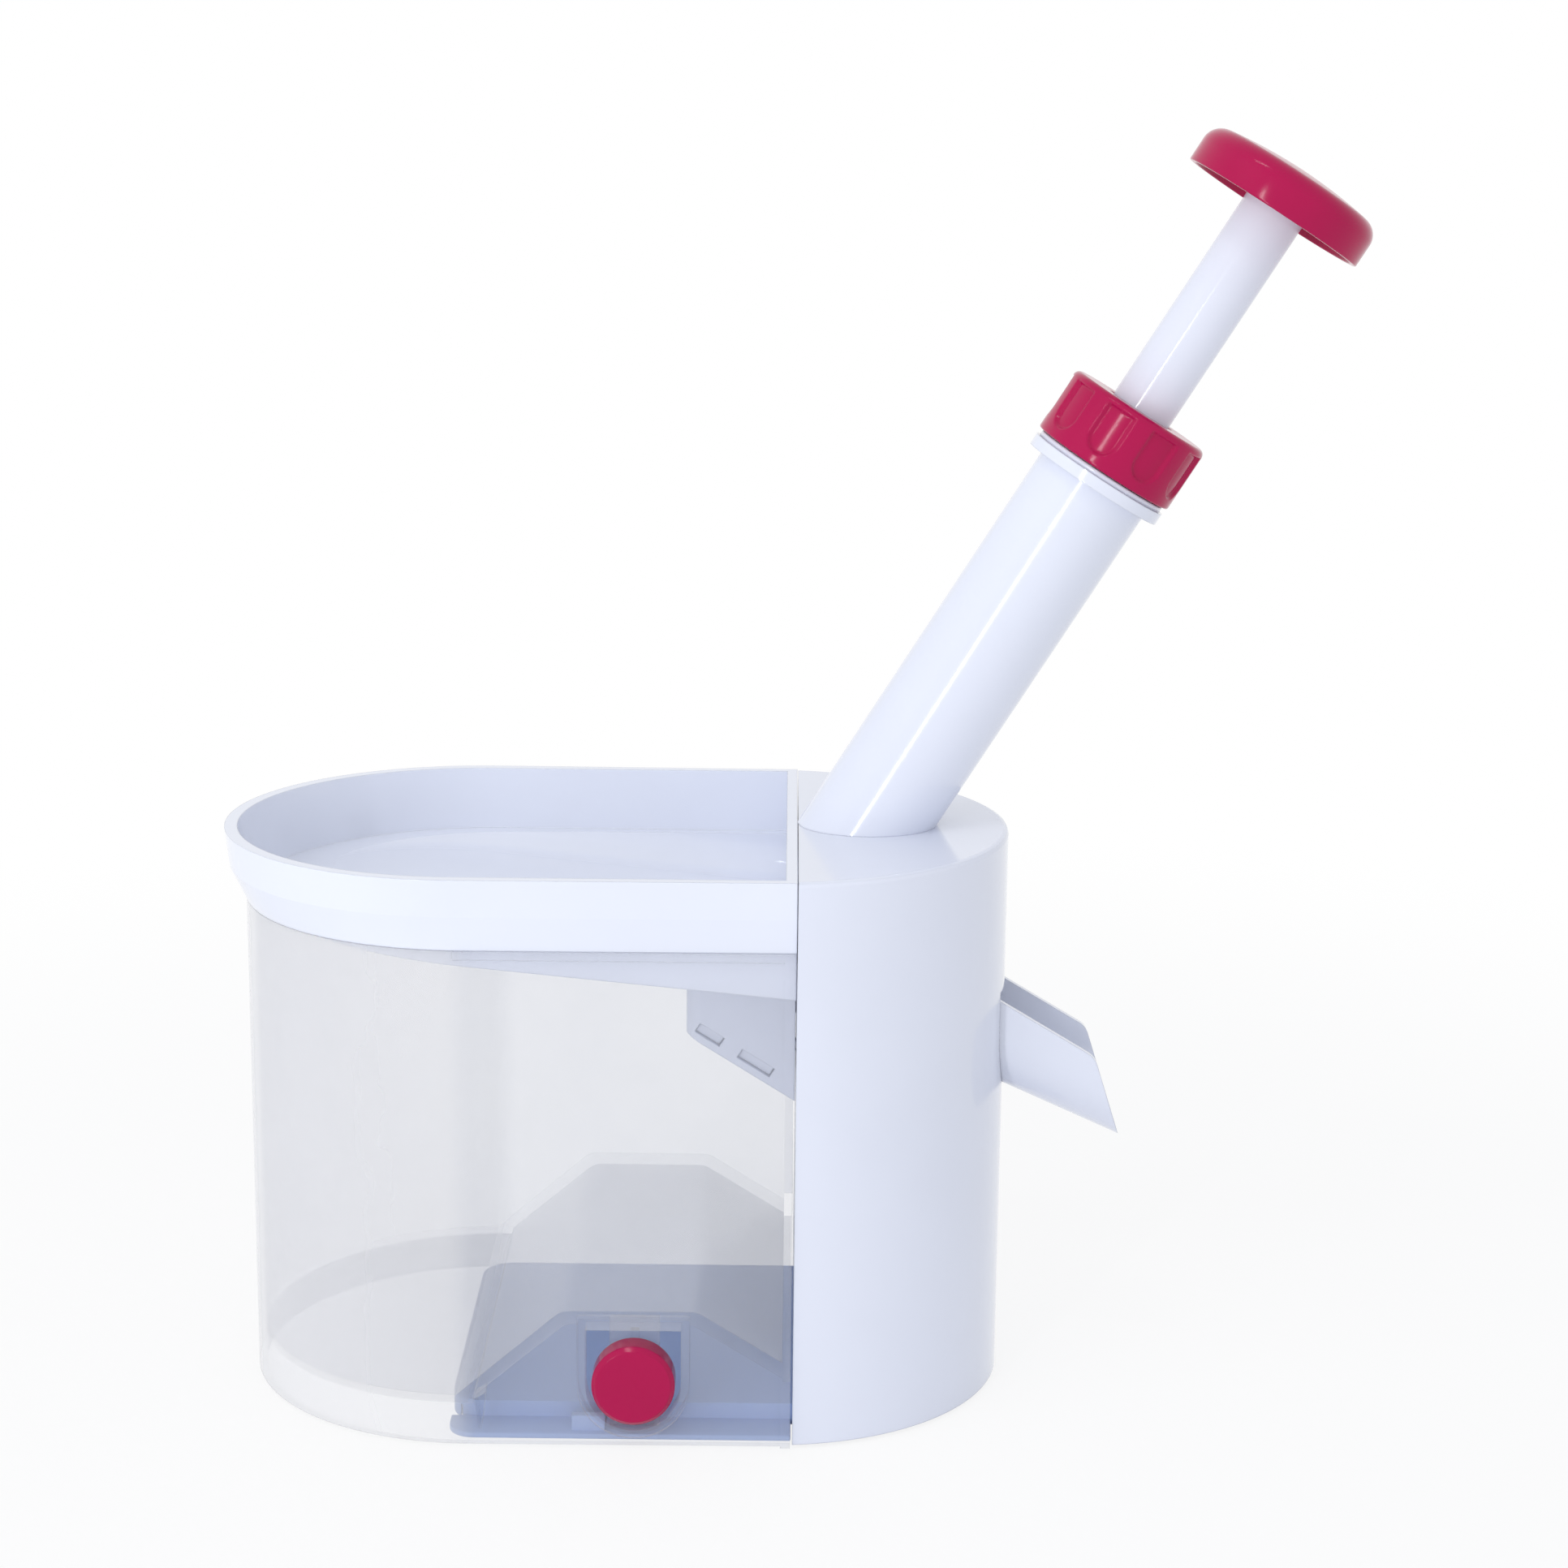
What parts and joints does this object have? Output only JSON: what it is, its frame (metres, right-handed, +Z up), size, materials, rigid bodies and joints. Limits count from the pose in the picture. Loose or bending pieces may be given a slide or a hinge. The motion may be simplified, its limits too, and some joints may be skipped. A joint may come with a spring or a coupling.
{
  "type": "cherry pitter",
  "caption": "Cherry pitter: hopper tray over a translucent pit container, hollow tower with a leaning push plunger, palm knob, collar nut and outlet chute.",
  "frame": {"origin": "on the table, under the middle of the whole's length and depth", "axes": "+Z up, +X along the body towards the chute and the plunger's lean, +Y from the side with the button to the back"},
  "size_m": [0.274, 0.12, 0.3085],
  "materials": {
    "white_plastic": "glossy",
    "tray_plastic": "glossy",
    "base_plastic": "satin",
    "bush_plastic": "satin",
    "red_plastic": "glossy",
    "clear_plastic": "translucent",
    "steel": "satin",
    "spring_steel": "satin",
    "silicone": "matte",
    "rubber": "matte"
  },
  "bodies": {
    "housing": {"tower_housing": "white_plastic", "hopper_tray": "tray_plastic", "barrel": "white_plastic", "guide_bush": "bush_plastic", "pin_guide": "bush_plastic", "chute": "white_plastic", "seat_gasket": "silicone", "seat_frame": "tray_plastic", "base_plate": "base_plastic", "base_screws": "steel", "tray_screws": "steel", "return_spring": "spring_steel", "rubber_foot_1": "rubber", "rubber_foot_2": "rubber", "rubber_foot_3": "rubber", "rubber_foot_4": "rubber"},
    "collar": {"collar_nut": "red_plastic"},
    "plunger": {"plunger_tube": "white_plastic", "palm_knob": "red_plastic", "stop_ring": "bush_plastic", "pin_carrier": "bush_plastic", "pitting_pin": "steel"},
    "container": {"pit_container": "clear_plastic"},
    "latch": {"latch_tongue": "clear_plastic", "release_button": "red_plastic"}
  },
  "joints": [
    {"name": "plunger_press", "type": "slide", "parent": "housing", "child": "plunger", "axis": [-0.5299, 0, -0.848], "range_m": [0, 0.052], "stiffness_N_per_m": 400, "springref_m": -0.025, "deforming": ["return_spring"]},
    {"name": "collar_turn", "type": "hinge", "parent": "housing", "child": "collar", "pos_m": [0.07912, 0, 0.23413], "axis": [0.5299, 0, 0.848], "range_deg": [0, 60]},
    {"name": "container_slide", "type": "slide", "parent": "housing", "child": "container", "axis": [-1, 0, 0], "range_m": [0, 0.15]},
    {"name": "latch_press", "type": "hinge", "parent": "container", "child": "latch", "pos_m": [-0.0344, -0.0498, 0.0305], "axis": [1, 0, 0], "range_deg": [0, 6], "stiffness_Nm_per_rad": 0.05, "springref_deg": -5.73}
  ]
}
